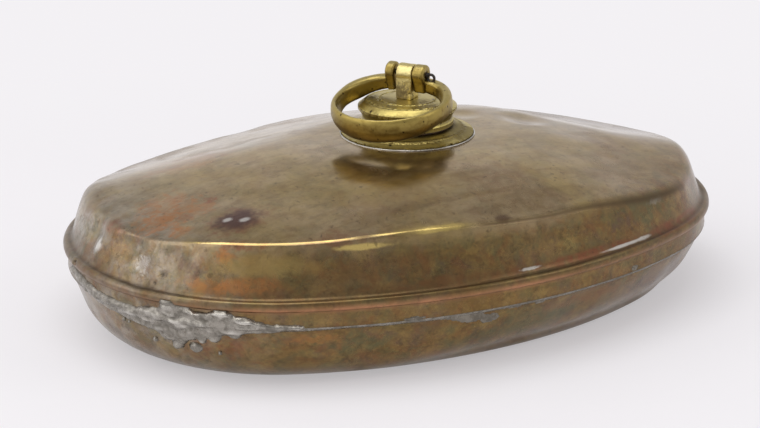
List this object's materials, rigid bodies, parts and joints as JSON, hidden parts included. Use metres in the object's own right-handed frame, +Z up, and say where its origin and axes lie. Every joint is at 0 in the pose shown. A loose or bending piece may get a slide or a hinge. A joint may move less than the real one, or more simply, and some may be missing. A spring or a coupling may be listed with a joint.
{
  "type": "hot water bottle",
  "caption": "Oval sheet-metal hot water bottle with a domed crown, soldered lap seam, threaded filler cap and swinging ring handle.",
  "frame": {"origin": "middle of the base, on the surface that the bottle stands on", "axes": "+Z up, +X along the bottle's length"},
  "size_m": [0.3, 0.212, 0.1068],
  "materials": {
    "sheet_brass": "old sheet with a brown patina, worn to copper in places",
    "turned_brass": "turned, dulled",
    "cast_brass": "cast, filed and dulled",
    "solder": "wiped grey solder",
    "washer_leather": "dark greased leather",
    "pin_iron": "black rusted iron"
  },
  "bodies": {
    "bottle": {"upper_shell": "sheet_brass", "lower_shell": "sheet_brass", "seam_solder": "solder", "solder_repair": "solder", "solder_splashes": "solder", "filler_collar": "turned_brass", "collar_solder": "solder"},
    "washer": {"cap_washer": "washer_leather"},
    "cap": {"screw_cap": "turned_brass", "ring_lug": "cast_brass", "ring_pin": "pin_iron"},
    "ring": {"ring_handle": "cast_brass"}
  },
  "joints": [
    {"name": "cap_lift", "type": "slide", "parent": "bottle", "child": "washer", "axis": [0, 0, 1], "range_m": [0, 0.01201]},
    {"name": "cap_turn", "type": "hinge", "parent": "washer", "child": "cap", "pos_m": [0.005, -0.003, 0.0805], "axis": [0, 0, 1], "range_deg": [0, 1440]},
    {"name": "ring_swing", "type": "hinge", "parent": "cap", "child": "ring", "pos_m": [0.005, -0.003, 0.1026], "axis": [-0.5592, 0.829, 0], "range_deg": [0, 230]}
  ],
  "couplings": [
    {"joint": "cap_lift", "follows": "cap_turn", "m_per_rad": 0.00047746}
  ]
}
